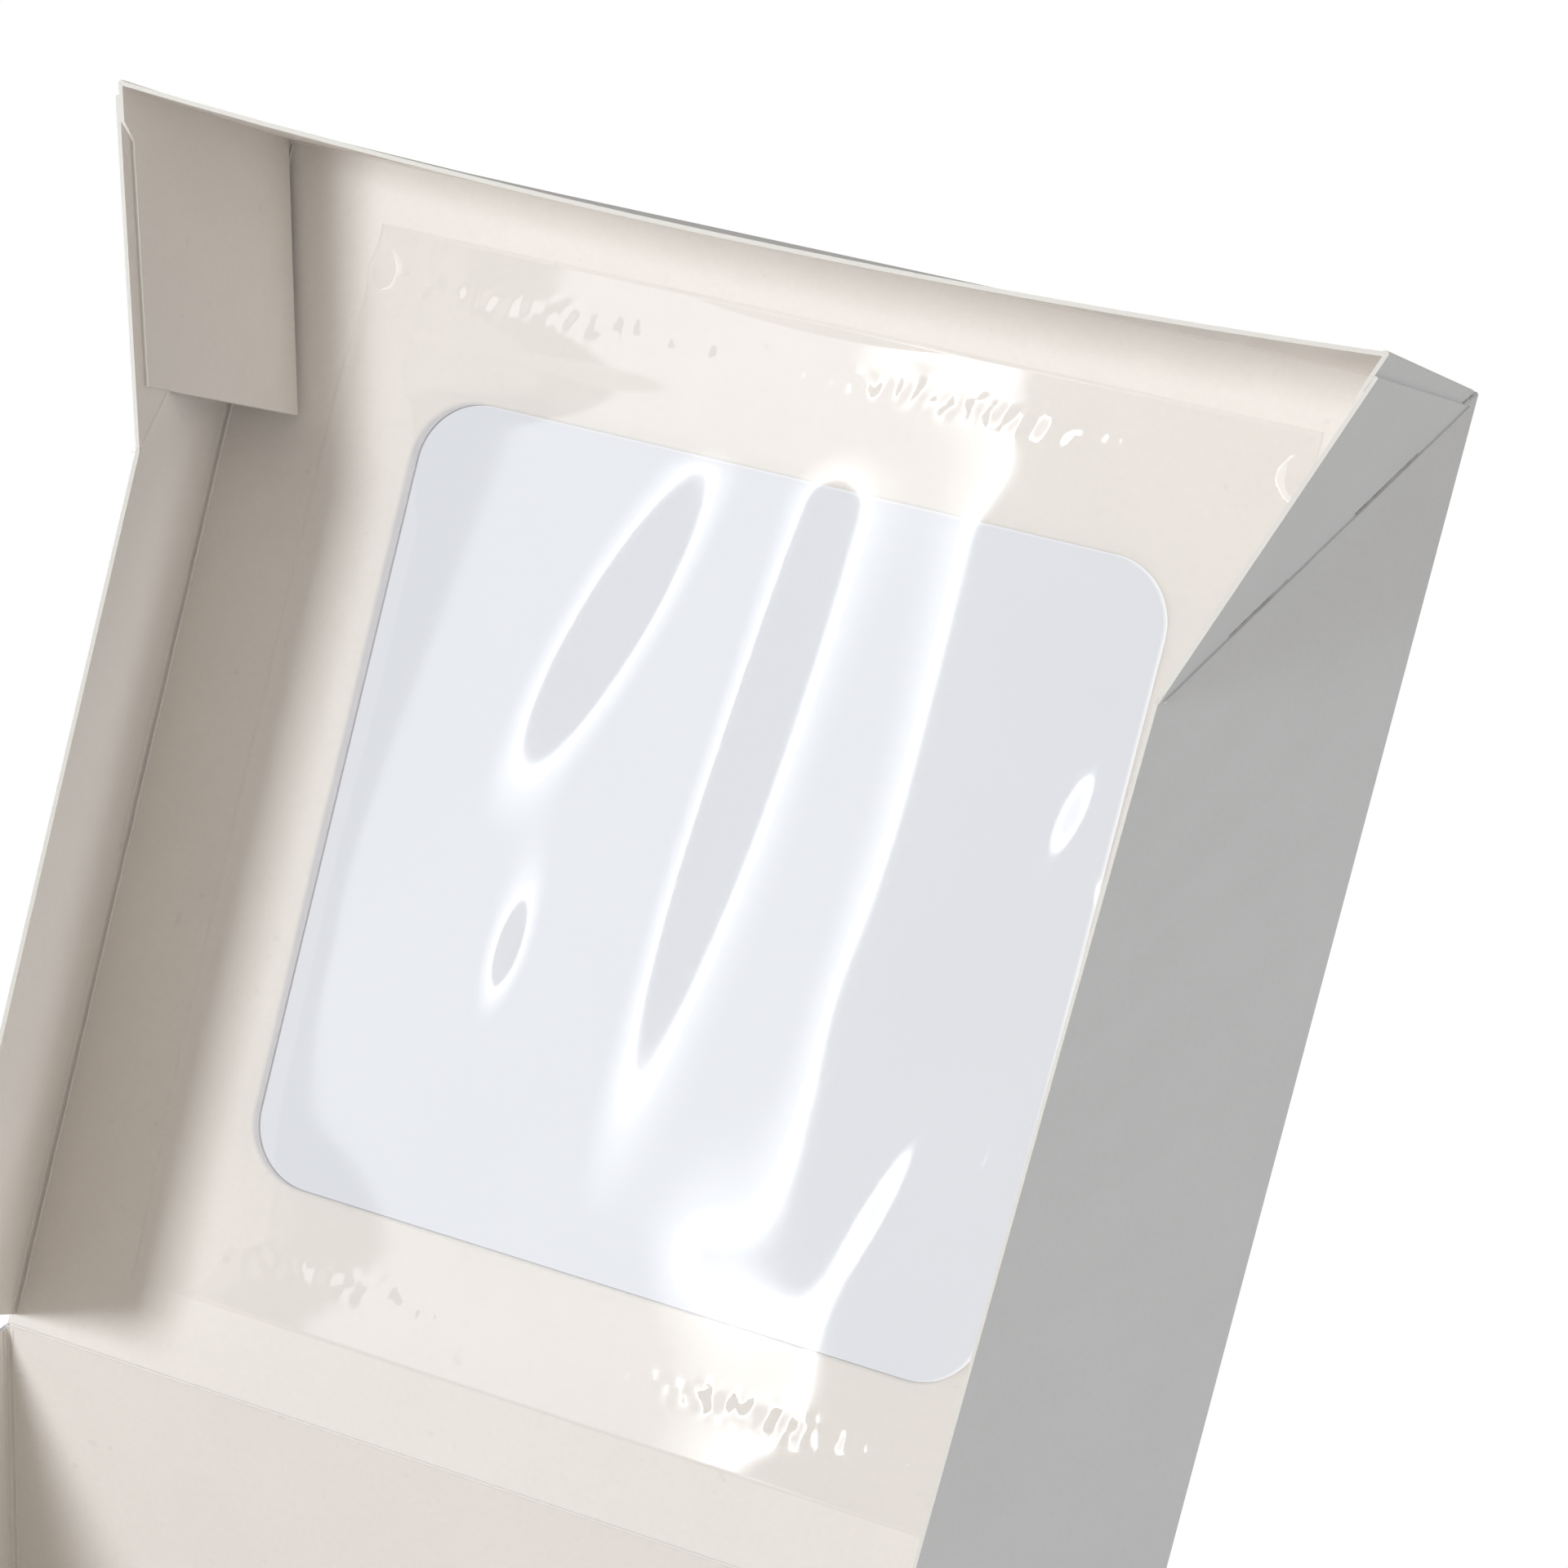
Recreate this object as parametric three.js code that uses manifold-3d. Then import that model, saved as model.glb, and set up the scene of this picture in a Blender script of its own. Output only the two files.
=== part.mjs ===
// A folded white paperboard cupcake box with its windowed lid open.
// A deep base tray carries the lid on the scored crease along the top of its back wall. The lid is a
// shallow tray: a top panel with a window, a front wall and two side walls, held by glued corner
// flaps that let the walls lean inwards. A clear film is glued over the window from inside, and a
// folded insert with four cup holes stands in the base.
// Millimetres and degrees, +Z up. The origin is the centre of the base's underside, the lid's crease
// is at +Y and the front at -Y.

import * as THREE from 'three';
import { mergeVertices } from 'three/addons/utils/BufferGeometryUtils.js';
import Module from 'manifold-3d';

// Board and folds
const board = 0.5;
const foldRadius = 0.4;
const scoreRadius = 0.32;
const glueBite = 0.03;
const weldLength = 0.002;

// Base tray
const boxWidth = 160;
const boxDepth = 163;
const boxHeight = 76;
const hingeGap = 0.3;

// Lid
const lidOpenAngle = 115.5;
const lidWallHeight = 43.5;
const lidSidePlay = 0.35;
const lidFrontPlay = 0.5;
const lidWallRearInset = 1;
const lidWallRearSlope = 6;
const leftWallLean = 17.3;
const rightWallLean = 21.8;
const leftWallTwist = 0;
const rightWallTwist = 3.4;
const frontWallLean = 2.75;
const frontWallBow = 3.4;

// Window and film
const windowSideMargin = 28.5;
const windowFrontMargin = 27.2;
const windowRearMargin = 28.3;
const windowRadius = 8.5;
const filmThickness = 0.15;
const filmGap = 0.3;
const filmSideInset = 16.2;
const filmFrontInset = 8;
const filmRearInset = 10.5;
const filmGlueBand = 5.5;
const filmRise = 1.1;
const filmRipple = 0.45;
const filmRipplePitch = 19;
const filmRippleSlant = 0.12;

// Corner flaps and the side walls' free ends beside them
const wallEndSetback = 1.6;
const flapLength = 35.7;
const flapFootStart = 1.3;
const flapFootRise = 1.8;
const flapReliefStart = 4.7;
const flapReliefRun = 2;
const flapReliefDepth = 2.1;
const rimDrop = 0.5;

// Cup insert
const insertHeight = 28;
const insertPlay = 0.4;
const insertFootGap = 0.3;
const insertLegTaper = 4;
const cupHoleDiameter = 62;
const cupSpacingAcross = 74;
const cupSpacingDeep = 76;

// Colours of the two faces of the sheet and of the film
const boardColour = '#efece6';
const insertColour = '#f3f1ec';
const filmColour = '#e8ebef';

// Facets on round forms
const rodSides = 10;
const holeSegments = 12;
const bowSegments = 16;
const twistSegments = 10;
const filmColumns = 36;
const filmRows = 14;

// Derived places
const halfBoard = board / 2;
const flapSeat = board - glueBite;
const baseHalfWidth = boxWidth / 2 - halfBoard;
const baseHalfDepth = boxDepth / 2 - halfBoard;
const hingeY = baseHalfDepth;
const hingeZ = boxHeight + halfBoard;
const lidHalfWidth = boxWidth / 2 - board - lidSidePlay - halfBoard;
const frontLean = THREE.MathUtils.degToRad(frontWallLean);
const lidReach = 2 * baseHalfDepth - halfBoard - lidFrontPlay - halfBoard;
const lidWallRise = lidWallHeight * Math.cos(frontLean);
const lidDepth = Math.sqrt(lidReach ** 2 - lidWallRise ** 2) + lidWallHeight * Math.sin(frontLean);

const wasm = await Module();
wasm.setup();

const vec = (x, y, z) => new THREE.Vector3(x, y, z);
const X = vec(1, 0, 0);
const Y = vec(0, 1, 0);
const Z = vec(0, 0, 1);

// A closed three.js geometry as a solid that can be joined to others.
function solidOf(geometry) {
  const bare = geometry.clone();
  bare.deleteAttribute('normal');
  bare.deleteAttribute('uv');
  const merged = mergeVertices(bare);
  return new wasm.Manifold(new wasm.Mesh({
    numProp: 3,
    vertProperties: new Float32Array(merged.attributes.position.array),
    triVerts: new Uint32Array(merged.index.array),
  }));
}

// Several solids joined into one sheet, as a geometry again. Slivers thinner than the weld length,
// left where a fold's bead grazes a panel, are closed.
function joined(solids) {
  const mesh = solids.reduce((sum, next) => sum.add(next)).simplify(weldLength).getMesh();
  const geometry = new THREE.BufferGeometry();
  geometry.setAttribute('position', new THREE.BufferAttribute(mesh.vertProperties, 3));
  geometry.setIndex(new THREE.BufferAttribute(mesh.triVerts, 1));
  geometry.computeVertexNormals();
  return geometry;
}

const outline = (points) => new THREE.Shape(points.map(([x, y]) => new THREE.Vector2(x, y)));

// A rectangle with round corners, as a hole in a panel.
function roundedWindow(left, low, right, high, radius) {
  const path = new THREE.Path();
  const quarter = Math.PI / 2;
  path.absarc(right - radius, low + radius, radius, -quarter, 0);
  path.absarc(right - radius, high - radius, radius, 0, quarter);
  path.absarc(left + radius, high - radius, radius, quarter, 2 * quarter);
  path.absarc(left + radius, low + radius, radius, 2 * quarter, 3 * quarter);
  path.closePath();
  return path;
}

// A flat panel: an outline on the middle plane of the sheet, with the board's thickness about it.
function panel(shape, origin, along, up) {
  const sheet = new THREE.ExtrudeGeometry(shape, {
    depth: board, bevelEnabled: false, curveSegments: holeSegments,
  });
  sheet.translate(0, 0, -halfBoard);
  const normal = vec(0, 0, 0).crossVectors(along, up);
  sheet.applyMatrix4(new THREE.Matrix4().makeBasis(along, up, normal).setPosition(origin));
  return solidOf(sheet);
}

// A curved sheet: a grid over its middle surface, offset both ways along the surface's normal.
function curvedSheet(place, columns, rows, thickness) {
  const step = 1e-3;
  const positions = [];
  for (const side of [1, -1]) {
    for (let row = 0; row <= rows; row += 1) {
      for (let column = 0; column <= columns; column += 1) {
        const [s, t] = [column / columns, row / rows];
        const middle = place(s, t);
        const alongS = place(s + step, t).sub(place(s - step, t));
        const alongT = place(s, t + step).sub(place(s, t - step));
        const normal = alongS.cross(alongT).normalize();
        middle.addScaledVector(normal, side * thickness / 2);
        positions.push(middle.x, middle.y, middle.z);
      }
    }
  }
  const layer = (columns + 1) * (rows + 1);
  const top = (column, row) => row * (columns + 1) + column;
  const low = (column, row) => layer + top(column, row);
  const faces = [];
  const quad = (a, b, c, d) => faces.push(a, b, c, a, c, d);
  for (let row = 0; row < rows; row += 1) {
    for (let column = 0; column < columns; column += 1) {
      quad(top(column, row), top(column + 1, row), top(column + 1, row + 1), top(column, row + 1));
      quad(low(column, row), low(column, row + 1), low(column + 1, row + 1), low(column + 1, row));
    }
    quad(low(0, row), top(0, row), top(0, row + 1), low(0, row + 1));
    quad(top(columns, row), low(columns, row), low(columns, row + 1), top(columns, row + 1));
  }
  for (let column = 0; column < columns; column += 1) {
    quad(top(column, 0), low(column, 0), low(column + 1, 0), top(column + 1, 0));
    quad(low(column, rows), top(column, rows), top(column + 1, rows), low(column + 1, rows));
  }
  const geometry = new THREE.BufferGeometry();
  geometry.setAttribute('position', new THREE.Float32BufferAttribute(positions, 3));
  geometry.setIndex(faces);
  return geometry;
}

// The rolled bead of board along a line, pushed inwards so that its outside lies in the sheet's.
function rod(from, to, inward, radius) {
  const shift = inward.clone().multiplyScalar(radius - halfBoard);
  const span = vec(0, 0, 0).subVectors(to, from);
  const bead = new THREE.CylinderGeometry(radius, radius, span.length(), rodSides);
  bead.applyQuaternion(new THREE.Quaternion().setFromUnitVectors(Y, span.clone().normalize()));
  const middle = vec(0, 0, 0).addVectors(from, to).multiplyScalar(0.5).add(shift);
  bead.translate(middle.x, middle.y, middle.z);
  return solidOf(bead);
}

// A folded crease between two panels that leave it along the directions first and second.
function fold(from, to, first, second) {
  const bisector = vec(0, 0, 0).addVectors(first, second).normalize();
  const halfAngle = Math.acos(THREE.MathUtils.clamp(first.dot(second), -1, 1)) / 2;
  return rod(from, to, bisector.divideScalar(Math.sin(halfAngle)), foldRadius);
}

// The round knuckle where three folds meet in a corner.
function knuckle(corner, inward) {
  const ball = new THREE.SphereGeometry(foldRadius, rodSides, rodSides / 2);
  const centre = corner.clone().addScaledVector(inward, foldRadius - halfBoard);
  ball.translate(centre.x, centre.y, centre.z);
  return solidOf(ball);
}

// A glue flap's outline: its fold at 0, full height beside the fold, then relieved at the free edge.
function flapOutline(foot, top, relief) {
  return outline([
    [0, foot], [flapLength, foot + flapFootRise], [flapLength, top - relief],
    [flapReliefStart + flapReliefRun, top - relief], [flapReliefStart, top], [0, top],
  ]);
}

// One front corner of the base, or one back corner: the flap folded from the end wall and glued
// inside the side wall, the fold between them and the diagonal score of the side wall.
function baseCorner(hand, end) {
  const foldLine = (z) => vec(hand * (baseHalfWidth - board), end * baseHalfDepth, z);
  const inPlane = vec(0, -end, 0);
  const inner = vec(-hand, 0, 0);
  const flapOrigin = vec(hand * (baseHalfWidth - flapSeat), end * baseHalfDepth, 0);
  const top = boxHeight - rimDrop;
  const scoreTop = boxHeight - scoreRadius;
  const scoreStart = vec(hand * baseHalfWidth, end * baseHalfDepth, halfBoard);
  const scoreEnd = vec(hand * baseHalfWidth, end * (baseHalfDepth - scoreTop + halfBoard), scoreTop);
  const inward = vec(-hand, -end, 1);
  return [
    panel(flapOutline(board + flapFootStart, top, flapReliefDepth), flapOrigin, inPlane, Z),
    fold(foldLine(halfBoard), foldLine(top), inner, inPlane),
    rod(scoreStart, scoreEnd, inner, scoreRadius),
    knuckle(scoreStart, inward),
  ];
}

// The base tray: one sheet folded from the bottom panel up into four walls.
function baseTray() {
  const endHalf = baseHalfWidth - flapSeat;
  const sideHalf = baseHalfDepth - wallEndSetback;
  const bottom = outline([
    [-baseHalfWidth, -baseHalfDepth], [baseHalfWidth, -baseHalfDepth],
    [baseHalfWidth, baseHalfDepth], [-baseHalfWidth, baseHalfDepth],
  ]);
  const wall = (half, top) => outline([[-half, halfBoard], [half, halfBoard], [half, top], [-half, top]]);
  const floorCorner = (hand, end) => vec(hand * baseHalfWidth, end * baseHalfDepth, halfBoard);
  const sheets = [
    panel(bottom, vec(0, 0, halfBoard), X, Y),
    panel(wall(endHalf, boxHeight), vec(0, -baseHalfDepth, 0), X, Z),
    panel(wall(endHalf, boxHeight - hingeGap), vec(0, baseHalfDepth, 0), X, Z),
  ];
  for (const hand of [-1, 1]) {
    sheets.push(panel(wall(sideHalf, boxHeight), vec(hand * baseHalfWidth, 0, 0), Y, Z));
    sheets.push(fold(floorCorner(hand, -1), floorCorner(hand, 1), vec(-hand, 0, 0), Z));
    sheets.push(...baseCorner(hand, -1), ...baseCorner(hand, 1));
  }
  for (const end of [-1, 1]) {
    sheets.push(fold(floorCorner(-1, end), floorCorner(1, end), vec(0, -end, 0), Z));
  }
  return joined(sheets);
}

// One side wall of the lid behind its diagonal fold: straight along its crease, and turned inwards by
// its twist from the fold to its rear end.
function lidSideWall(hand, leanDegrees, twistDegrees) {
  const creaseRun = lidDepth - lidWallRearInset;
  const rimRun = creaseRun - lidWallHeight - lidWallRearSlope;
  return solidOf(curvedSheet((s, t) => {
    const lean = THREE.MathUtils.degToRad(leanDegrees + twistDegrees * s);
    const setback = t * lidWallHeight;
    const run = THREE.MathUtils.lerp(creaseRun, rimRun, t);
    return vec(
      hand * (lidHalfWidth - setback * Math.sin(lean)), lidDepth - setback - s * run,
      setback * Math.cos(lean),
    );
  }, twistSegments, 1, board));
}

// One side of the lid: the wall behind its diagonal fold, the triangle in front of it, and the glue
// flap of the front wall. The flap's plane is the triangle's, so the corner closes at any lean.
function lidSide(hand, leanDegrees, twistDegrees) {
  const lean = THREE.MathUtils.degToRad(leanDegrees);
  const up = vec(-hand * Math.sin(lean), 0, Math.cos(lean));
  const corner = vec(hand * lidHalfWidth, lidDepth, 0);
  const cornerLine = vec(0, -Math.sin(frontLean), Math.cos(frontLean));
  const diagonal = vec(0, -1, 0).add(up).normalize();
  const across = cornerLine.clone().addScaledVector(diagonal, -cornerLine.dot(diagonal)).normalize();
  const endLine = diagonal.clone().add(across).normalize();
  const backwards = diagonal.clone().sub(across).normalize();
  const flapRun = diagonal.clone().addScaledVector(cornerLine, -diagonal.dot(cornerLine)).normalize();
  const inner = vec(0, 0, 0).crossVectors(flapRun, cornerLine).multiplyScalar(hand).normalize();
  const wallInner = vec(-hand * Math.cos(lean), 0, -Math.sin(lean));
  const height = lidWallHeight;
  const triangle = outline([
    [wallEndSetback, wallEndSetback], [height, height], [wallEndSetback, height],
  ]);
  const flapOrigin = corner.clone().addScaledVector(inner, flapSeat);
  const scoreEnd = corner.clone().addScaledVector(diagonal, Math.SQRT2 * (height - foldRadius));
  const foldTop = flapOrigin.clone().addScaledVector(cornerLine, height);
  const creaseStart = vec(corner.x, lidWallRearInset, 0);
  return [
    lidSideWall(hand, leanDegrees, twistDegrees),
    panel(triangle, corner, backwards, endLine),
    panel(flapOutline(flapFootStart, height, flapReliefDepth), flapOrigin, flapRun, cornerLine),
    fold(creaseStart, corner, vec(-hand, 0, 0), up),
    fold(flapOrigin, foldTop, vec(-hand, 0, 0), flapRun),
    rod(corner, scoreEnd, wallInner, scoreRadius),
    knuckle(corner, vec(-hand, -1, 1)),
  ];
}

// The lid's front wall: straight at its crease, bowed inwards along its free edge.
function lidFrontWall() {
  const half = lidHalfWidth - flapSeat;
  const bow = THREE.MathUtils.degToRad(frontWallBow);
  return solidOf(curvedSheet((s, t) => {
    const across = 2 * s - 1;
    const lean = frontLean + bow * (1 - across ** 2);
    const rise = t * lidWallHeight;
    return vec(across * half, lidDepth - rise * Math.sin(lean), rise * Math.cos(lean));
  }, bowSegments, 1, board));
}

// The lid lies here as an upright tray with its crease along X at the origin.
function lid() {
  const top = outline([
    [-lidHalfWidth, 0], [lidHalfWidth, 0], [lidHalfWidth, lidDepth], [-lidHalfWidth, lidDepth],
  ]);
  const windowHalf = lidHalfWidth - windowSideMargin;
  top.holes.push(roundedWindow(
    -windowHalf, windowRearMargin, windowHalf, lidDepth - windowFrontMargin, windowRadius,
  ));
  const hingeEnd = (hand) => vec(hand * lidHalfWidth, 0, 0);
  const frontEnd = (hand) => vec(hand * lidHalfWidth, lidDepth, 0);
  return joined([
    panel(top, vec(0, 0, 0), X, Y),
    rod(hingeEnd(-1), hingeEnd(1), Z, halfBoard),
    fold(frontEnd(-1), frontEnd(1), vec(0, -1, 0), Z),
    lidFrontWall(),
    ...lidSide(-1, leftWallLean, leftWallTwist),
    ...lidSide(1, rightWallLean, rightWallTwist),
  ]);
}

// The film: flat on the panel where it is glued along its front and rear bands, and standing off in
// long soft ripples between them.
function windowFilm() {
  const left = -lidHalfWidth + filmSideInset;
  const width = 2 * (lidHalfWidth - filmSideInset);
  const length = lidDepth - filmFrontInset - filmRearInset;
  const seat = halfBoard + filmGap + filmThickness / 2;
  return curvedSheet((s, t) => {
    const free = THREE.MathUtils.clamp((t * length - filmGlueBand) / (length - 2 * filmGlueBand), 0, 1);
    const swell = Math.sin(Math.PI * free) ** 2;
    const phase = 2 * Math.PI * (s * width - filmRippleSlant * t * length) / filmRipplePitch;
    const height = swell * (filmRise * Math.sin(Math.PI * s) + filmRipple * (1 + Math.cos(phase)));
    return vec(left + s * width, filmRearInset + t * length, seat + height);
  }, filmColumns, filmRows, filmThickness);
}

// The insert: a deck with four cup holes on four legs folded down from its edges.
function cupInsert() {
  const halfAcross = baseHalfWidth - board - halfBoard - insertPlay - halfBoard;
  const halfDeep = baseHalfDepth - halfBoard - insertPlay - halfBoard;
  const deckZ = insertHeight - halfBoard;
  const foot = board + insertFootGap;
  const deck = outline([
    [-halfAcross, -halfDeep], [halfAcross, -halfDeep], [halfAcross, halfDeep], [-halfAcross, halfDeep],
  ]);
  for (const x of [-cupSpacingAcross / 2, cupSpacingAcross / 2]) {
    for (const y of [-cupSpacingDeep / 2, cupSpacingDeep / 2]) {
      deck.holes.push(new THREE.Path().absarc(x, y, cupHoleDiameter / 2, 0, 2 * Math.PI));
    }
  }
  const leg = (half) => outline([
    [-half + board, deckZ], [-half + insertLegTaper, foot], [half - insertLegTaper, foot],
    [half - board, deckZ],
  ]);
  const deckCorner = (hand, end) => vec(hand * halfAcross, end * halfDeep, deckZ);
  const down = vec(0, 0, -1);
  const sheets = [panel(deck, vec(0, 0, deckZ), X, Y)];
  for (const hand of [-1, 1]) {
    sheets.push(panel(leg(halfDeep), vec(hand * halfAcross, 0, 0), Y, Z));
    sheets.push(fold(deckCorner(hand, -1), deckCorner(hand, 1), vec(-hand, 0, 0), down));
    sheets.push(panel(leg(halfAcross), vec(0, hand * halfDeep, 0), X, Z));
    sheets.push(fold(deckCorner(-1, hand), deckCorner(1, hand), vec(0, -hand, 0), down));
  }
  return joined(sheets);
}

const boardFinish = (color) => new THREE.MeshStandardMaterial({ color, roughness: 0.62, metalness: 0 });
const filmFinish = new THREE.MeshStandardMaterial({
  color: filmColour, roughness: 0.05, metalness: 0, transparent: true, opacity: 0.3,
});

function piece(name, geometry, material) {
  const mesh = new THREE.Mesh(geometry, material);
  mesh.name = name;
  return mesh;
}

// The lid's tray is turned over to close on the base, and back by the angle it stands open.
const lidFrame = new THREE.Group();
lidFrame.position.set(0, hingeY, hingeZ);
lidFrame.rotation.x = THREE.MathUtils.degToRad(180 - lidOpenAngle);
lidFrame.add(piece('lid', lid(), boardFinish(boardColour)));
lidFrame.add(piece('window_film', windowFilm(), filmFinish));

const cupcakeBox = new THREE.Group();
cupcakeBox.add(piece('base_tray', baseTray(), boardFinish(boardColour)));
cupcakeBox.add(piece('cupcake_insert', cupInsert(), boardFinish(insertColour)));
cupcakeBox.add(lidFrame);

export default cupcakeBox;
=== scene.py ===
import math

import bpy
from mathutils import Matrix, Vector


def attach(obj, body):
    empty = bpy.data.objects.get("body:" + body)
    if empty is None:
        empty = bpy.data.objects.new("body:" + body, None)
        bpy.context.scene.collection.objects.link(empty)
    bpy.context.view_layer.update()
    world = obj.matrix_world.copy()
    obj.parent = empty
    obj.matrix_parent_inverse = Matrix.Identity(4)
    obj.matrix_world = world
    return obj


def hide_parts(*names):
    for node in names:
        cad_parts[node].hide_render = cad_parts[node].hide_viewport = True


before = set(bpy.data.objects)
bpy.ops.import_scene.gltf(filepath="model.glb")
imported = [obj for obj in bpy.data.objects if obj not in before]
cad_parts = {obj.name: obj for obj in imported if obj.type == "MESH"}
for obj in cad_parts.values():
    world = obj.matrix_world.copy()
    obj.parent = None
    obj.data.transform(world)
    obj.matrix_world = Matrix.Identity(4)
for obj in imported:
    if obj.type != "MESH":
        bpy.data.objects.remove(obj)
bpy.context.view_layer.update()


# Camera: a long lens close over the raised lid, from the right and above and rolled a little, so
# that the lid fills the picture and only the top of the base's back wall shows.
camera_data = bpy.data.cameras.new("close_view")
camera_data.sensor_width = 36.0
camera_data.lens = 97.89
camera_data.shift_x = 0.0359
camera_data.shift_y = 0.1848
camera_data.clip_start = 0.01
camera = bpy.data.objects.new("close_view", camera_data)
camera_place = (0.1909, -0.3121, 0.3867)
rightwards = Vector((0.90103, 0.42894, 0.06454))
upwards = Vector((-0.26297, 0.42184, 0.86771))
camera_turn = Matrix((rightwards, upwards, rightwards.cross(upwards))).transposed().to_4x4()
camera.matrix_world = Matrix.Translation(camera_place) @ camera_turn
bpy.context.scene.collection.objects.link(camera)
bpy.context.scene.camera = camera
bpy.context.scene.view_settings.view_transform = "Standard"


# Studio: one soft lamp in front of the open lid and a little to its left, weak ones to its right
# and behind, an even pale surround, and a floor that turns plain white away from the box. The card
# is what the glossy film mirrors: a dim panel with a bright edge.
class Shade:
    """A node's output in an expression: arithmetic on it adds the nodes."""

    def __init__(self, tree, socket=None):
        self.tree = tree
        self.socket = socket

    def node(self, kind, settings=None, inputs=None, out=0):
        """A node of that kind, with its settings and then its sockets' values or links."""
        made = self.tree.nodes.new(kind)
        for name, value in (settings or {}).items():
            setattr(made, name, value)
        for name, value in (inputs or {}).items():
            if isinstance(value, Shade):
                self.tree.links.new(value.socket, made.inputs[name])
            else:
                made.inputs[name].default_value = value
        return Shade(self.tree, made.outputs[out] if made.outputs else None)

    def math(self, operation, *values):
        return self.node("ShaderNodeMath", {"operation": operation}, dict(enumerate((self, *values))))

    def __add__(self, other):
        return self.math("ADD", other)

    def __sub__(self, other):
        return self.math("SUBTRACT", other)

    def __mul__(self, other):
        return self.math("MULTIPLY", other)

    def __truediv__(self, other):
        return self.math("DIVIDE", other)

    def __rsub__(self, other):
        return self * -1.0 + other

    __radd__ = __add__
    __rmul__ = __mul__

    def rise(self, start, end):
        """0 up to start, 1 from end, smooth between."""
        settings = {"interpolation_type": "SMOOTHSTEP"}
        return self.node("ShaderNodeMapRange", settings, {0: self, 1: start, 2: end})

    def hump(self, centre, half):
        """1 at centre, falling off smoothly on both sides over about half."""
        away = (self - centre) / half
        return (away * away * -1.0).math("EXPONENT")

    def vector(self, operation, *values, out="Vector"):
        inputs = dict(enumerate((self, *values)))
        return self.node("ShaderNodeVectorMath", {"operation": operation}, inputs, out)

    def parts(self):
        """The three numbers of a vector."""
        split = self.node("ShaderNodeSeparateXYZ", {}, {0: self}).socket.node
        return [Shade(self.tree, socket) for socket in split.outputs]

    def times(self, vector):
        """A vector or colour multiplied by this number."""
        return self.node("ShaderNodeVectorMath", {"operation": "SCALE"}, {0: vector, "Scale": self})

    def mixed(self, first, second):
        """A colour between first and second, as this number says."""
        return self.node("ShaderNodeMix", {"data_type": "RGBA"}, {0: self, 6: first, 7: second}, out=2)


def new_material(name):
    """A material without nodes yet, and the start of its expressions."""
    material = bpy.data.materials.new(name)
    material.use_nodes = True
    material.node_tree.nodes.clear()
    return material, Shade(material.node_tree)


def linked(name, data):
    made = bpy.data.objects.new(name, data)
    bpy.context.scene.collection.objects.link(made)
    return made


def new_lamp(name, place, target, size, power, colour):
    lamp = bpy.data.lights.new(name, "AREA")
    lamp.shape = "SQUARE"
    lamp.size = size
    lamp.energy = power
    lamp.color = colour
    holder = linked(name, lamp)
    holder.location = place
    holder.rotation_euler = (target - place).to_track_quat("-Z", "Y").to_euler()
    holder.visible_glossy = False


def stage_plane(name, low, high, height, material):
    """A level rectangle of the studio, from its low corner to its high one."""
    (left, near), (right, far) = low, high
    corners = [(left, near, height), (right, near, height), (right, far, height), (left, far, height)]
    mesh = bpy.data.meshes.new(name)
    mesh.from_pydata(corners, [], [(0, 1, 2, 3)])
    mesh.materials.append(material)
    made = linked(name, mesh)
    return made


# The lid's own frame: X along its hinge crease, Y from the crease over the panel, Z into the lid.
HINGE = Vector((0.0, 0.08125, 0.07625))
LID_TURN = math.radians(64.5)
from_lid = Matrix.Translation(HINGE) @ Matrix.Rotation(LID_TURN, 4, "X")
lid_middle = from_lid @ Vector((0.0, 0.079, 0.0))

key_place = from_lid @ Vector((-0.34, 0.07, 1.4))
side_place = Vector((1.5, -0.4, 0.75))
rear_place = Vector((1.2, 1.3, 0.6))
new_lamp("key_lamp", key_place, lid_middle, 0.26, 12.1, (0.925, 0.963, 1.0))
new_lamp("side_lamp", side_place, lid_middle, 0.8, 0.8, (1.0, 0.985, 0.97))
new_lamp("rear_lamp", rear_place, lid_middle, 0.8, 6.5, (1.0, 1.0, 1.0))

world = bpy.data.worlds.new("surround")
world.use_nodes = True
world.node_tree.nodes.clear()
bpy.context.scene.world = world
air = Shade(world.node_tree)
air_rays = air.node("ShaderNodeLightPath").socket.node.outputs
seen = Shade(air.tree, air_rays["Is Camera Ray"])
seen_through = Shade(air.tree, air_rays["Is Transmission Ray"])
ambient = air.node("ShaderNodeBackground", {}, {"Color": (1.0, 0.945, 0.87, 1), "Strength": 0.41})
blank = air.node("ShaderNodeBackground", {}, {"Color": (1, 1, 1, 1), "Strength": 1.0})
surround = air.node("ShaderNodeMixShader", {}, {
    0: seen.math("MAXIMUM", seen_through), 1: ambient, 2: blank,
})
air.node("ShaderNodeOutputWorld", {}, {"Surface": surround})

# The floor: near the box the camera sees half of its shadow, and from FLOOR_WHITE on none.
FLOOR_REACH = 6.0
FLOOR_HEIGHT = -0.0002
FLOOR_SHADED = 0.10
FLOOR_WHITE = 0.19
floor_material, paint = new_material("pale_floor")
from_box = paint.node("ShaderNodeTexCoord", out="Object").vector("LENGTH", out="Value")
floor_rays = paint.node("ShaderNodeLightPath").socket.node.outputs
looked_at = Shade(paint.tree, floor_rays["Is Camera Ray"])
matt = paint.node("ShaderNodeBsdfDiffuse", {}, {"Color": (0.84, 0.84, 0.84, 1)})
white = paint.node("ShaderNodeEmission", {}, {"Color": (1, 1, 1, 1), "Strength": 1.0})
floor_mix = paint.node("ShaderNodeMixShader", {}, {
    0: (from_box.rise(FLOOR_SHADED, FLOOR_WHITE) * 0.5 + 0.5) * looked_at, 1: matt, 2: white,
})
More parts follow.
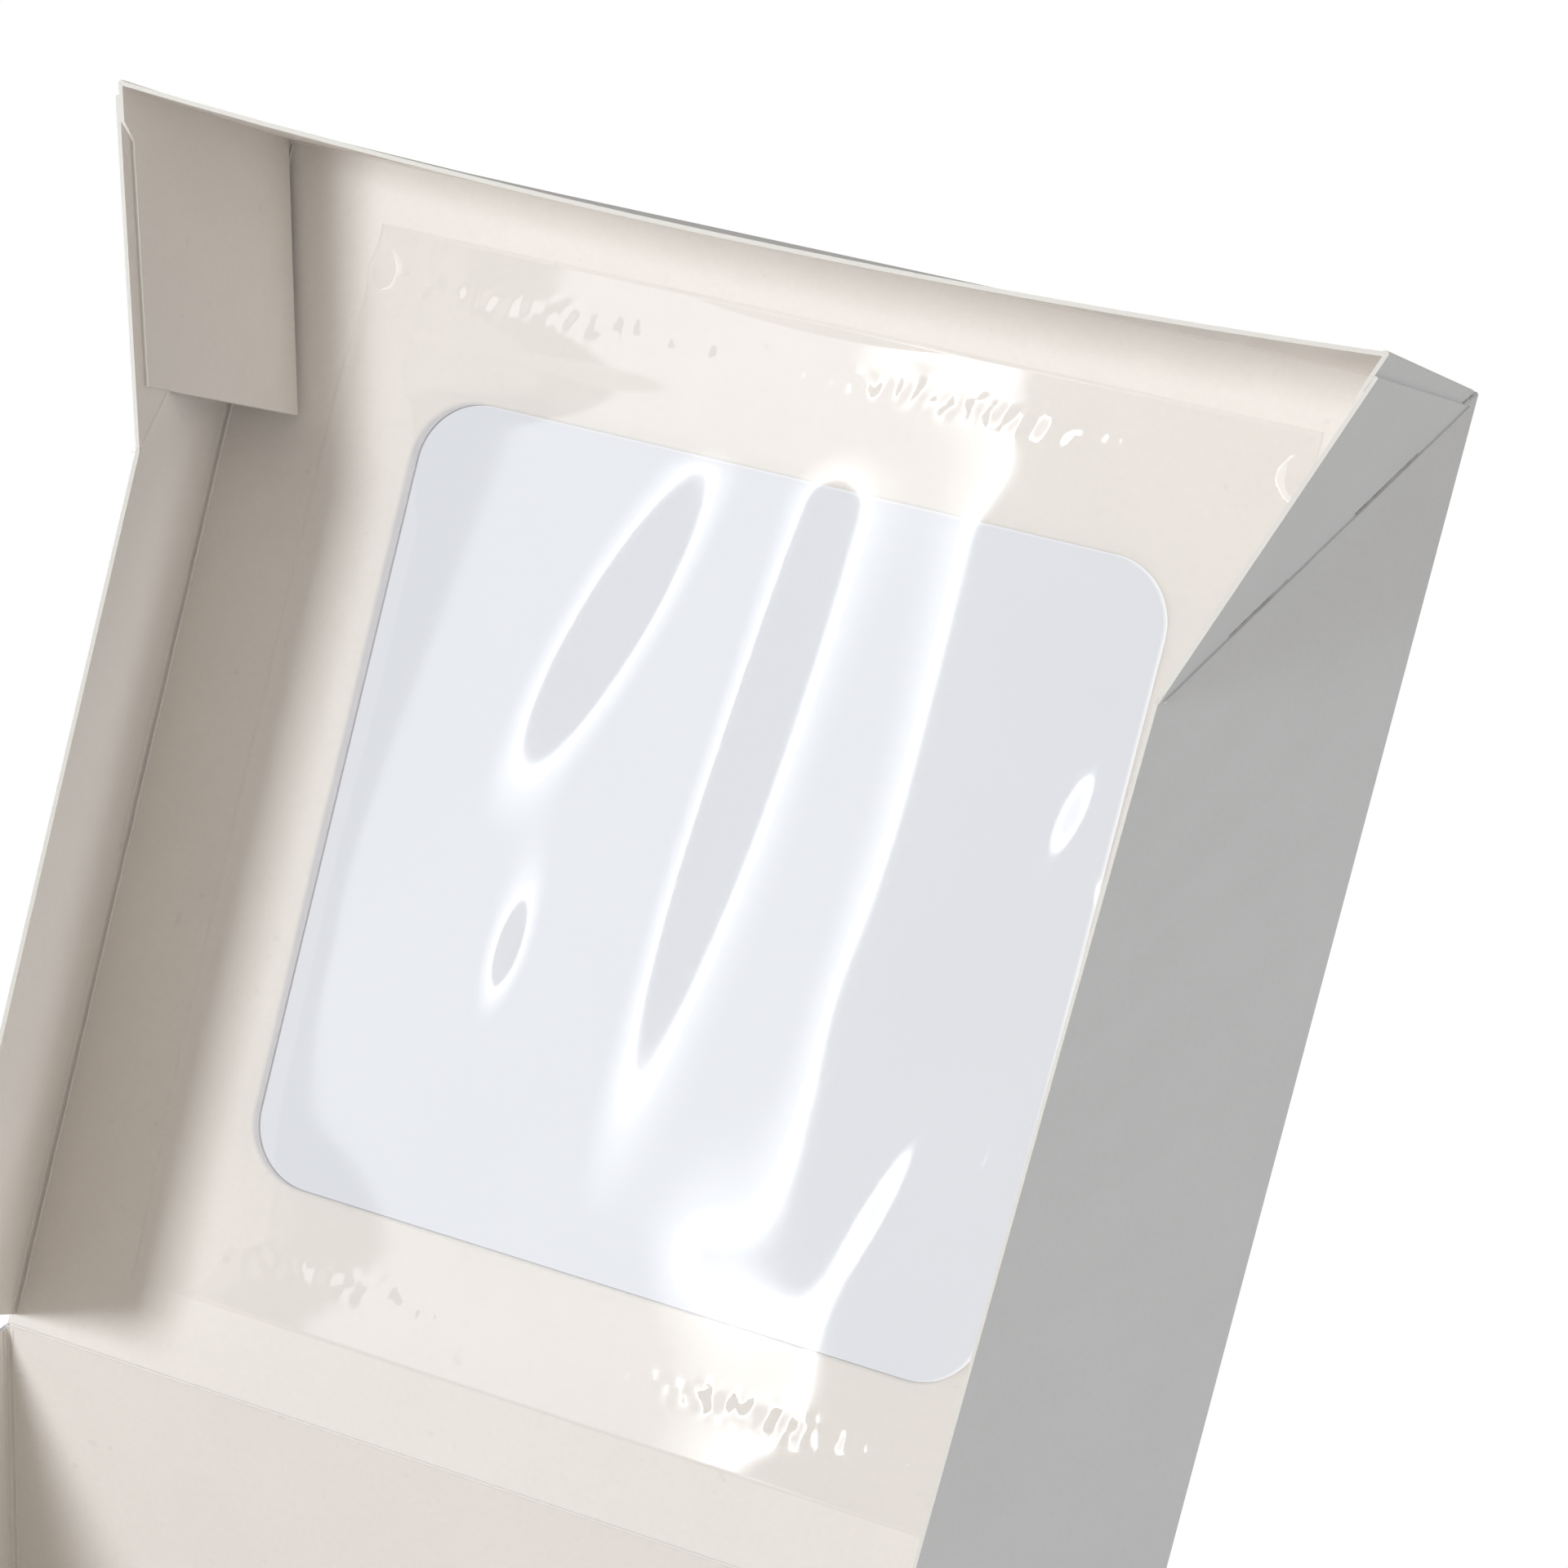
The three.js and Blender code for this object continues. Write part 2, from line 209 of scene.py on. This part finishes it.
paint.node("ShaderNodeOutputMaterial", {}, {"Surface": floor_mix})
stage_plane(
    "floor", (-FLOOR_REACH, -FLOOR_REACH), (FLOOR_REACH, FLOOR_REACH), FLOOR_HEIGHT, floor_material,
)

# The card, in the lid's frame: its dim part runs from X -0.741, its bright edge ends at X -0.487.
CARD_LOW = (-0.79, -0.77)
CARD_HIGH = (-0.48, 1.4)
CARD_DISTANCE = 1.5
card_material, paint = new_material("reflector_card")
across = paint.node("ShaderNodeTexCoord", out="Object").parts()[0]
dim_part = across.rise(-0.741, -0.734)
skirt = across.rise(-0.548, -0.496)
bright_edge = across.rise(-0.497, -0.492)
lit_side = 1 - across.rise(-0.489, -0.487)
glow = (dim_part * 1.75 + skirt * skirt * 2.4 + bright_edge * 10.5) * lit_side
card_light = paint.node("ShaderNodeEmission", {}, {
    "Color": glow.times((0.97, 0.985, 1.0)), "Strength": 1.0,
})
paint.node("ShaderNodeOutputMaterial", {}, {"Surface": card_light})
card = stage_plane("reflector_card", CARD_LOW, CARD_HIGH, CARD_DISTANCE, card_material)
card.matrix_world = from_lid
for kind in ("camera", "diffuse", "transmission", "shadow"):
    setattr(card, "visible_" + kind, False)


# Base tray: the lower half of one sheet of folded white board, coated outside and bare cream-white
# inside. Its corners are held by glued flaps, and its cut edges show the raw fibre.
BARE = (0.882, 0.84, 0.80)
# The coated colour is greyer and cooler than the white coat itself: painted shade for the outside,
# which faces away from the lamp.
COATED_WITH_PAINTED_SHADE = (0.685, 0.70, 0.726)
RAW = (0.76, 0.74, 0.70)
# A window's cut edge is paler than the raw fibre: painted light over the shade on it.
PALE_PAINTED_LIGHT = (0.93, 0.91, 0.88)
HALF_BOARD = 0.00025
BASE_RIM = 0.0759


def board_material(name, bare, coated, own_frame, middle, rim):
    """Board with its bare face towards middle. Level faces at rim are cut, as is a window's edge."""
    material, paint = new_material(name)
    place = paint.node("ShaderNodeTexCoord", out="Object")
    facing = paint.node("ShaderNodeTexCoord", out="Normal")
    turn = own_frame.to_euler()
    own_place = paint.node("ShaderNodeMapping", {"vector_type": "TEXTURE"}, {
        "Vector": place, "Location": own_frame.translation, "Rotation": turn,
    })
    own_facing = paint.node("ShaderNodeMapping", {"vector_type": "VECTOR"}, {
        "Vector": facing, "Rotation": (-turn.x, -turn.y, -turn.z),
    })
    from_middle = own_place.vector("SUBTRACT", middle)
    inwards = from_middle.vector("DOT_PRODUCT", own_facing, out="Value") * -1.0
    inside = inwards.rise(-0.0005, 0.0005)

    height = own_place.parts()[2]
    level = own_facing.parts()[2].math("ABSOLUTE")
    rim_cut = level.rise(0.78, 0.86) * height.rise(rim - 0.0004, rim)
    in_the_board = 1 - height.math("ABSOLUTE").rise(HALF_BOARD - 0.00005, HALF_BOARD + 0.00002)
    window_cut = (1 - level.rise(0.1, 0.3)) * in_the_board

    mottle = paint.node("ShaderNodeTexNoise", {}, {"Vector": place, "Scale": 70.0, "Detail": 3.0})
    fibre = paint.node("ShaderNodeTexNoise", {}, {"Vector": place, "Scale": 1300.0, "Detail": 4.0})
    fleck = paint.node("ShaderNodeTexNoise", {}, {"Vector": place, "Scale": 430.0, "Detail": 1.0})
    flecks = fleck.rise(0.74, 0.80) * inside * 0.05
    tone = 1 + (mottle - 0.5) * 0.05 + (fibre - 0.5) * 0.06 - flecks
    toned = tone.times(inside.mixed((*coated, 1), (*bare, 1)))
    # Painted light: the window's cut edge gets the pale colour instead of the raw one.
    colour = window_cut.mixed(rim_cut.mixed(toned, (*RAW, 1)), (*PALE_PAINTED_LIGHT, 1))
    relief = paint.node("ShaderNodeBump", {}, {
        "Strength": 0.3, "Distance": 0.00008, "Height": fibre + mottle * 2.5,
    })
    finish = paint.node("ShaderNodeBsdfPrincipled", {}, {
        "Base Color": colour, "Roughness": 0.48 + 0.24 * inside + (fibre - 0.5) * 0.12,
        "Normal": relief, "Specular IOR Level": 0.25,
    })
    paint.node("ShaderNodeOutputMaterial", {}, {"Surface": finish})
    return material


base_board = board_material(
    "white_board_base", BARE, COATED_WITH_PAINTED_SHADE, Matrix.Identity(4), (0.0, 0.0, 0.045), BASE_RIM,
)
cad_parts["base_tray"].data.materials[0] = base_board


# Cup insert: a loose deck of white board with four round cup holes. It is cut and folded from one
# sheet and stands on four folded legs in the base, with nothing to fix it.
INSERT_UNDERSIDE = (0.87, 0.85, 0.815)
INSERT_TOP = (0.86, 0.845, 0.81)
ABOVE_THE_INSERT = 0.2
insert_board = board_material(
    "white_board_insert", INSERT_UNDERSIDE, INSERT_TOP, Matrix.Identity(4), (0.0, 0.0, 0.01),
    ABOVE_THE_INSERT,
)
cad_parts["cupcake_insert"].data.materials[0] = insert_board


# Lid: the upper half of the same sheet, folded into a shallow tray: window panel, front wall, and
# two side walls that lean in, with a diagonal fold at each front corner over a glued flap.
LID_HALF_WIDTH = 0.0789
LID_DEPTH = 0.15766
WALL_HEIGHT = 0.0435
DIAGONAL_LENGTH = WALL_HEIGHT * math.sqrt(2)
WALL_LEANS = {-1: math.radians(17.3), 1: math.radians(21.8)}
LID_RIM = 0.0385
lid_board = board_material("white_board_lid", BARE, COATED_WITH_PAINTED_SHADE, from_lid, (0.0, 0.08, 0.03), LID_RIM)
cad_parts["lid"].data.materials[0] = lid_board


# Pressed lines: the blunt rule that scores the board leaves a fine ridge on each side of a fold, a
# little wavy where the fibres lifted. They are the board itself, and not pieces fixed to it.
def group_with_inputs(name, sizes):
    """A Geometry Nodes tree with those inputs, as the start of its expressions, and its inputs."""
    tree = bpy.data.node_groups.new(name, "GeometryNodeTree")
    tree.interface.new_socket("Geometry", in_out="INPUT", socket_type="NodeSocketGeometry")
    tree.interface.new_socket("Geometry", in_out="OUTPUT", socket_type="NodeSocketGeometry")
    tree.interface.new_socket("Material", in_out="INPUT", socket_type="NodeSocketMaterial")
    for size, value in sizes.items():
        kind = "NodeSocketInt" if isinstance(value, int) else "NodeSocketFloat"
        tree.interface.new_socket(size, in_out="INPUT", socket_type=kind).default_value = value
    entry = tree.nodes.new("NodeGroupInput")
    return Shade(tree), {socket.name: Shade(tree, socket) for socket in entry.outputs if socket.name}


def end_group(group, geometry, material):
    """Ends a tree: instances made real, shaded smooth, and the material set."""
    real = group.node("GeometryNodeRealizeInstances", {}, {0: geometry})
    smooth = group.node("GeometryNodeSetShadeSmooth", {}, {0: real})
    covered = group.node("GeometryNodeSetMaterial", {}, {0: smooth, "Material": material})
    group.node("NodeGroupOutput", {}, {0: covered})


def grown(name, group, mesh, body, slot, **sizes):
    """An object on that body, with what the tree makes of the mesh as its plain mesh."""
    seed = linked(name + "_seed", mesh)
    modifier = seed.modifiers.new("grow", "NODES")
    modifier.node_group = group.tree
    for item in group.tree.interface.items_tree:
        if item.in_out == "INPUT" and item.name in sizes:
            modifier[item.identifier] = sizes[item.name]
    bpy.context.view_layer.update()
    graph = bpy.context.evaluated_depsgraph_get()
    result = bpy.data.meshes.new_from_object(seed.evaluated_get(graph))
    bpy.data.objects.remove(seed)
    made = linked(name, result)
    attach(made, body)
    return made


def lines_mesh(name, lines):
    """A mesh of loose edges, one for each pair of ends."""
    mesh = bpy.data.meshes.new(name)
    ends = [end for line in lines for end in line]
    mesh.from_pydata(ends, [(i, i + 1) for i in range(0, len(ends), 2)], [])
    return mesh


ridge, given = group_with_inputs("pressed_ridge", {
    "Radius": 0.00012, "Wave": 0.00006, "Wave Scale": 260.0, "Step": 0.0006, "Sides": 6,
})
path = ridge.node("GeometryNodeMeshToCurve", {}, {0: given["Geometry"]})
path = ridge.node("GeometryNodeResampleCurve", {"mode": "LENGTH"}, {
    0: path, "Length": given["Step"],
})
noise = ridge.node("ShaderNodeTexNoise", {}, {
    "Vector": ridge.node("GeometryNodeInputPosition"), "Scale": given["Wave Scale"], "Detail": 2.0,
}, out="Color")
wander = (given["Wave"] * 2.0).times(noise.vector("SUBTRACT", (0.5, 0.5, 0.5)))
path = ridge.node("GeometryNodeSetPosition", {}, {0: path, "Offset": wander})
ring = ridge.node("GeometryNodeCurvePrimitiveCircle", {}, {
    "Resolution": given["Sides"], "Radius": given["Radius"],
})
tube = ridge.node("GeometryNodeCurveToMesh", {}, {0: path, 1: ring, "Fill Caps": True})
end_group(ridge, tube, given["Material"])

# On the lid: beside each side crease one ridge is on the panel and one on the wall, and a ridge
# runs on each side of each diagonal fold.
CREASE_START = 0.0015
CREASE_END = 0.001
PANEL_RIDGE = 0.00105
WALL_RIDGE = 0.00125
DIAGONAL_RIDGE = 0.00045
DIAGONAL_START = 0.002
DIAGONAL_END = 0.001
lid_lines = []
diagonals = {}
for hand, lean in WALL_LEANS.items():
    up_the_wall = Vector((-hand * math.sin(lean), 0.0, math.cos(lean)))
    wall_inwards = Vector((-hand * math.cos(lean), 0.0, -math.sin(lean)))
    crease_near = Vector((hand * LID_HALF_WIDTH, CREASE_START, 0.0))
    crease_far = Vector((hand * LID_HALF_WIDTH, LID_DEPTH - CREASE_END, 0.0))
    on_panel = Vector((-hand * PANEL_RIDGE, 0.0, HALF_BOARD))
    on_wall = up_the_wall * WALL_RIDGE + wall_inwards * HALF_BOARD
    for offset in (on_panel, on_wall):
        lid_lines.append((from_lid @ (crease_near + offset), from_lid @ (crease_far + offset)))

    corner = Vector((hand * LID_HALF_WIDTH, LID_DEPTH, 0.0))
    diagonal = (Vector((0.0, -1.0, 0.0)) + up_the_wall).normalized()
    diagonals[hand] = (corner, diagonal, wall_inwards)
    beside = diagonal.cross(wall_inwards)
    for step in (-DIAGONAL_RIDGE, DIAGONAL_RIDGE):
        on_outside = corner - wall_inwards * HALF_BOARD + beside * step
        lid_lines.append((
            from_lid @ (on_outside + diagonal * DIAGONAL_START),
            from_lid @ (on_outside + diagonal * (DIAGONAL_LENGTH - DIAGONAL_END)),
        ))
grown(
    "lid_pressed_lines", ridge, lines_mesh("lid_lines", lid_lines), "lid_swing", "white_board",
    Material=lid_board, Radius=0.0002, Wave=0.0001,
)

# On the base: two ridges run up each inner corner, one on the end wall and one on the side wall.
BASE_CORNER = (0.079, 0.081)
FROM_SIDE_WALL = 0.0008
FROM_END_WALL = 0.0009
BASE_FOLD = (0.002, 0.0752)
base_lines = []
for hand in (-1, 1):
    for end in (-1, 1):
        x = hand * BASE_CORNER[0]
        y = end * BASE_CORNER[1]
        for ridge_x, ridge_y in ((x - hand * FROM_SIDE_WALL, y), (x, y - end * FROM_END_WALL)):
            base_lines.append([Vector((ridge_x, ridge_y, height)) for height in BASE_FOLD])
grown(
    "base_pressed_lines", ridge, lines_mesh("base_lines", base_lines), "base", "white_board",
    Material=base_board, Radius=0.00013, Wave=0.00005,
)


# Hinge crease: between the base's back wall and the lid the sheet runs on as a soft rounded fold,
# pressed thin. It is the same board, and the lid swings on it.
CREASE_HALF_LENGTH = 0.0787
CREASE_BELOW_HINGE = 0.0004
crease_ends = [
    HINGE + Vector((hand * CREASE_HALF_LENGTH, 0.0, -CREASE_BELOW_HINGE)) for hand in (-1, 1)
]
grown(
    "hinge_crease_bead", ridge, lines_mesh("hinge_line", [crease_ends]), "base", "white_board",
    Material=base_board, Radius=0.00029, Wave=0.00002, Sides=10,
)


# Cut slits: each diagonal fold is half cut through in two stretches, so that it turns easily. The
# slits are fine dark tubes laid just over the coated outside: painted shade in the opened cuts.
SLIT_STRETCHES = ((0.20, 0.40), (0.61, 0.79))
SLIT_ABOVE_BOARD = 0.00001
slit_material, paint = new_material("slit_shadow")
slit_grain = paint.node("ShaderNodeTexNoise", {}, {
    "Vector": paint.node("ShaderNodeTexCoord", out="Object"), "Scale": 900.0, "Detail": 2.0,
})
# Painted shade: the slit tubes are dark brown, as the shade in a cut would be.
slit_finish = paint.node("ShaderNodeBsdfPrincipled", {}, {
    "Base Color": slit_grain.rise(0.35, 0.65).mixed((0.10, 0.085, 0.07, 1), (0.34, 0.31, 0.27, 1)),
    "Roughness": slit_grain * 0.2 + 0.75,
})
paint.node("ShaderNodeOutputMaterial", {}, {"Surface": slit_finish})
slit_lines = []
for corner, diagonal, wall_inwards in diagonals.values():
    on_outside = corner - wall_inwards * (HALF_BOARD + SLIT_ABOVE_BOARD)
    for stretch in SLIT_STRETCHES:
        slit_lines.append([
            from_lid @ (on_outside + diagonal * DIAGONAL_LENGTH * part) for part in stretch
        ])
grown(
    "diagonal_slits", ridge, lines_mesh("slits", slit_lines), "lid_swing", "white_board",
    Material=slit_material, Radius=0.00009, Wave=0.00008,
)


# Torn fibres: short pale fibres of the raw board that stand up in tufts where the lid's corners
# were pulled round, at the crease and at the top of each diagonal fold.
tufts, given = group_with_inputs("torn_fibres", {"Length": 0.0009, "Seed": 3})
place_id = tufts.node("GeometryNodeInputIndex")
stalk = tufts.node("GeometryNodeCurveQuadraticBezier", {}, {
    "Resolution": 4, "Start": (0, 0, 0), "Middle": (0.0, 0.0, 0.6), "End": (0.45, 0.1, 1.0),
})
stalk_ring = tufts.node("GeometryNodeCurvePrimitiveCircle", {}, {"Resolution": 4, "Radius": 0.05})
stalk_mesh = tufts.node("GeometryNodeCurveToMesh", {}, {0: stalk, 1: stalk_ring, "Fill Caps": True})
spin = tufts.node("FunctionNodeRandomValue", {"data_type": "FLOAT_VECTOR"}, {
    "Min": (-1.3, -1.3, 0.0), "Max": (1.3, 1.3, 6.28), "ID": place_id, "Seed": given["Seed"],
})
share = tufts.node("FunctionNodeRandomValue", {"data_type": "FLOAT"}, {
    2: 0.4, 3: 1.2, "ID": place_id, "Seed": given["Seed"],
}, out=1)
fibres = tufts.node("GeometryNodeInstanceOnPoints", {}, {
    "Points": given["Geometry"], "Instance": stalk_mesh, "Rotation": spin,
    "Scale": share * given["Length"],
})
end_group(tufts, fibres, given["Material"])

fibre_material, paint = new_material("raw_fibre")
fibre_tone = paint.node("ShaderNodeTexNoise", {}, {
    "Vector": paint.node("ShaderNodeTexCoord", out="Object"), "Scale": 400.0,
})
fibre_finish = paint.node("ShaderNodeBsdfPrincipled", {}, {
    "Base Color": fibre_tone.mixed((0.84, 0.80, 0.73, 1), (0.95, 0.93, 0.89, 1)),
    "Roughness": fibre_tone * 0.2 + 0.7,
})
paint.node("ShaderNodeOutputMaterial", {}, {"Surface": fibre_finish})


def tuft(middle, count, spread):
    """Points round a torn corner, on a spiral so that none fall together."""
    return [
        middle + Vector((math.cos(i * 2.4), math.sin(i * 2.4), math.sin(i * 4.1)))
        * spread * math.sqrt(i / count)
        for i in range(count)
    ]


def points_mesh(name, points):
    mesh = bpy.data.meshes.new(name)
    mesh.from_pydata(points, [], [])
    return mesh


TUFT_SPREAD = 0.0006
TUFT_INSET = 0.0011
lid_points = []
for hand, (corner, diagonal, wall_inwards) in diagonals.items():
    in_corner = corner + Vector((-hand * TUFT_INSET, -TUFT_INSET, TUFT_INSET))
    lid_points += tuft(from_lid @ in_corner, 16, TUFT_SPREAD)
    lid_points += tuft(from_lid @ (corner + diagonal * DIAGONAL_LENGTH), 9, TUFT_SPREAD)
grown(
    "lid_torn_fibres", tufts, points_mesh("lid_tufts", lid_points), "lid_swing", "white_board",
    Material=fibre_material, Length=0.0005, Seed=5,
)


# Window film: a thin clear film, glued inside the panel along its front and rear edges. Between the
# glue lines it stands off in long soft ripples, as it was pulled when it was glued.
FILM_HALF_WIDTH = 0.0627
FILM_REAR = 0.0105
FILM_FRONT = 0.1496
FILM_SEAT = 0.00037
FILM_THICKNESS = 0.00010
FILM_STEP = 0.00062
# The film's heights are worked out in mm. A ripple has its centre across, its slant, the place
# along where its centre is as given, its width, its slope, and its middle along and half length.
MM = 1000.0
RIPPLES = (
    (-19.6, 0.34, 107, 10.0, -0.0672, 103, 41),
    (-7.5, 0.15, 100, 5.5, 0.0200, 100, 60),
    (1.9, 0.09, 95, 6.6, -0.0405, 89, 64),
    (17.0, 0.03, 95, 5.0, 0.0110, 90, 46),
    (31.0, 0.02, 95, 6.0, -0.0075, 100, 50),
    (22.0, 0.0, 70, 4.0, -0.0050, 70, 14),
    (11.0, 0.20, 35, 8.0, -0.0170, 29, 19),
    (-21.6, 0.12, 64, 4.4, -0.0560, 64, 15),
    (34.5, 0.27, 50, 2.6, 0.0185, 50, 16),
    (45.2, 0.20, 100, 2.9, 0.0320, 100, 11),
    (50.4, -0.10, 91, 1.4, 0.0350, 91, 6),
    (45.3, 0.20, 57, 1.6, 0.0275, 57, 5),
    (-50.0, 0.0, 130, 6.0, -0.0090, 135, 25),
)
STAND_OFF = 1.35
REAR_RAMP = (12.0, 38.0)
FRONT_RAMP = (128.0, 143.0)
# A dish near a glue line has its centre across, half width, middle along and half length.
DISHES = ((9.0, 17.0, 147.0, 4.5), (22.0, 15.0, 24.0, 14.0))
DISH_AXIS = 24.4
DISH_RADIUS = 861.0
# A glue line has its middle along and half width. The curled front corners have their distance
# across and along, each with its half width.
FRONT_GLUE = (143.2, 1.3)
REAR_GLUE = (18.6, 1.7)
CRINKLE_HEIGHT = 0.16
CURL_ACROSS = (63.0, 2.2)
CURL_ALONG = (143.8, 2.0)
CURL_HEIGHT = 1.1
rippled, given = group_with_inputs("rippled_film", {
    "Half Width": FILM_HALF_WIDTH, "Rear": FILM_REAR, "Front": FILM_FRONT, "Step": FILM_STEP,
    "Thickness": FILM_THICKNESS, "Seat": FILM_SEAT,
})
film_width = given["Half Width"] * 2.0
film_length = given["Front"] - given["Rear"]
film_middle = (given["Front"] + given["Rear"]) * 0.5
grid = rippled.node("GeometryNodeMeshGrid", {}, {
    "Size X": film_width, "Size Y": film_length,
    "Vertices X": film_width / given["Step"], "Vertices Y": film_length / given["Step"],
})
grid_x, grid_y = rippled.node("GeometryNodeInputPosition").parts()[:2]
u = grid_x * MM
v = (grid_y + film_middle) * MM
swell = STAND_OFF
for centre, slant, pivot, width, slope, middle, half in RIPPLES:
    across = (u - (v - pivot) * slant - centre) / width
    swell = swell + across.math("TANH") * (slope * width) * v.hump(middle, half)
height = swell * v.rise(*REAR_RAMP) * (1 - v.rise(*FRONT_RAMP))
bowl = (u - DISH_AXIS) * (u - DISH_AXIS) / (2 * DISH_RADIUS)
for centre, half_width, middle, half in DISHES:
    height = height + bowl * u.hump(centre, half_width) * v.hump(middle, half)
crinkle = rippled.node("ShaderNodeTexNoise", {}, {
    "Vector": rippled.node("ShaderNodeCombineXYZ", {}, {0: u, 1: v * 1.3}),
    "Scale": 0.55, "Detail": 2.0,
})
glue_lines = v.hump(*FRONT_GLUE) * 1.6 + v.hump(*REAR_GLUE)
height = height + (crinkle - 0.35) * glue_lines * CRINKLE_HEIGHT
front_corners = u.math("ABSOLUTE").hump(*CURL_ACROSS) * v.hump(*CURL_ALONG)
height = (height + front_corners * CURL_HEIGHT) / MM + given["Seat"]
lifted = rippled.node("ShaderNodeCombineXYZ", {}, {0: grid_x, 1: grid_y + film_middle, 2: height})
sheet = rippled.node("GeometryNodeSetPosition", {}, {0: grid, "Position": lifted})
upper = rippled.node("GeometryNodeExtrudeMesh", {}, {
    0: sheet, "Offset Scale": given["Thickness"], "Individual": False,
})
lower = rippled.node("GeometryNodeFlipFaces", {}, {0: sheet})
both = rippled.node("GeometryNodeJoinGeometry", {}, {0: upper})
rippled.tree.links.new(lower.socket, both.socket.node.inputs[0])
welded = rippled.node("GeometryNodeMergeByDistance", {}, {0: both, "Distance": 0.00001})
turned = rippled.node("GeometryNodeTransform", {}, {
    0: welded, "Translation": HINGE, "Rotation": (LID_TURN, 0.0, 0.0),
})
end_group(rippled, turned, given["Material"])

# The film's finish: clear and glossy, with painted shade as a cool dark layer over the window opening,
# nearly no haze on the bands beside it, and a painted highlight as a fine pale line at its long edges.
WINDOW_HALF_WIDTH = 0.0504
WINDOW_HALF_LENGTH = 0.05105
WINDOW_MIDDLE = 0.07935
WINDOW_RADIUS = 0.0085
WINDOW_SOFTNESS = 0.0004
EDGE_STARTS = 0.00022
EDGE_FULL = 0.00012
WINDOW_PAINTED_SHADE = 0.133
BAND_VEIL = 0.003
EDGE_PAINTED_HIGHLIGHT = 0.05
MIRROR_SHARE = 0.034
film_material, paint = new_material("clear_film")
film_place = paint.node("ShaderNodeMapping", {"vector_type": "TEXTURE"}, {
    "Vector": paint.node("ShaderNodeTexCoord", out="Object"), "Location": HINGE,
    "Rotation": (LID_TURN, 0.0, 0.0),
})
film_u, film_v = film_place.parts()[:2]
from_side = film_u.math("ABSOLUTE")
from_middle = (film_v - WINDOW_MIDDLE).math("ABSOLUTE")
past_side = (from_side - (WINDOW_HALF_WIDTH - WINDOW_RADIUS)).math("MAXIMUM", 0.0)
past_end = (from_middle - (WINDOW_HALF_LENGTH - WINDOW_RADIUS)).math("MAXIMUM", 0.0)
past_corner = (past_side * past_side + past_end * past_end).math("SQRT")
over_window = 1 - past_corner.rise(WINDOW_RADIUS - WINDOW_SOFTNESS, WINDOW_RADIUS + WINDOW_SOFTNESS)
# Painted highlight: a pale diffuse layer along the film's long edges makes a fine pale line there, and
# the same layer gives the bands their faint haze.
at_edge = from_side.rise(FILM_HALF_WIDTH - EDGE_STARTS, FILM_HALF_WIDTH - EDGE_FULL)
cloud = paint.node("ShaderNodeTexNoise", {}, {"Vector": film_place, "Scale": 28.0, "Detail": 2.0})
# Painted shade: a cool dark diffuse layer over the window opening greys the view through it.
window_painted_shade = (cloud - 0.5) * 0.02 + WINDOW_PAINTED_SHADE
haze_shade_and_highlight = over_window * window_painted_shade + BAND_VEIL + at_edge * EDGE_PAINTED_HIGHLIGHT
pale_haze_and_highlight = paint.node("ShaderNodeBsdfDiffuse", {}, {"Color": (0.8, 0.8, 0.79, 1)})
cool_painted_shade = paint.node("ShaderNodeBsdfDiffuse", {}, {"Color": (0.12, 0.19, 0.36, 1)})
haze_and_painted_light = paint.node("ShaderNodeMixShader", {}, {0: over_window, 1: pale_haze_and_highlight, 2: cool_painted_shade})
clear = paint.node("ShaderNodeBsdfTransparent", {}, {"Color": (1, 1, 1, 1)})
film_body = paint.node("ShaderNodeMixShader", {}, {0: haze_shade_and_highlight, 1: clear, 2: haze_and_painted_light})
mirror = paint.node("ShaderNodeBsdfAnisotropic", {}, {
    "Color": (1, 1, 1, 1), "Roughness": (cloud - 0.5) * 0.02 + 0.035,
})
film_mix = paint.node("ShaderNodeMixShader", {}, {0: MIRROR_SHARE, 1: film_body, 2: mirror})
paint.node("ShaderNodeOutputMaterial", {}, {"Surface": film_mix})
film = grown(
    "clear_window", rippled, points_mesh("film_seed", [(0.0, 0.0, 0.0)]), "lid_swing", "clear_film",
    Material=film_material,
)
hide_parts("window_film")
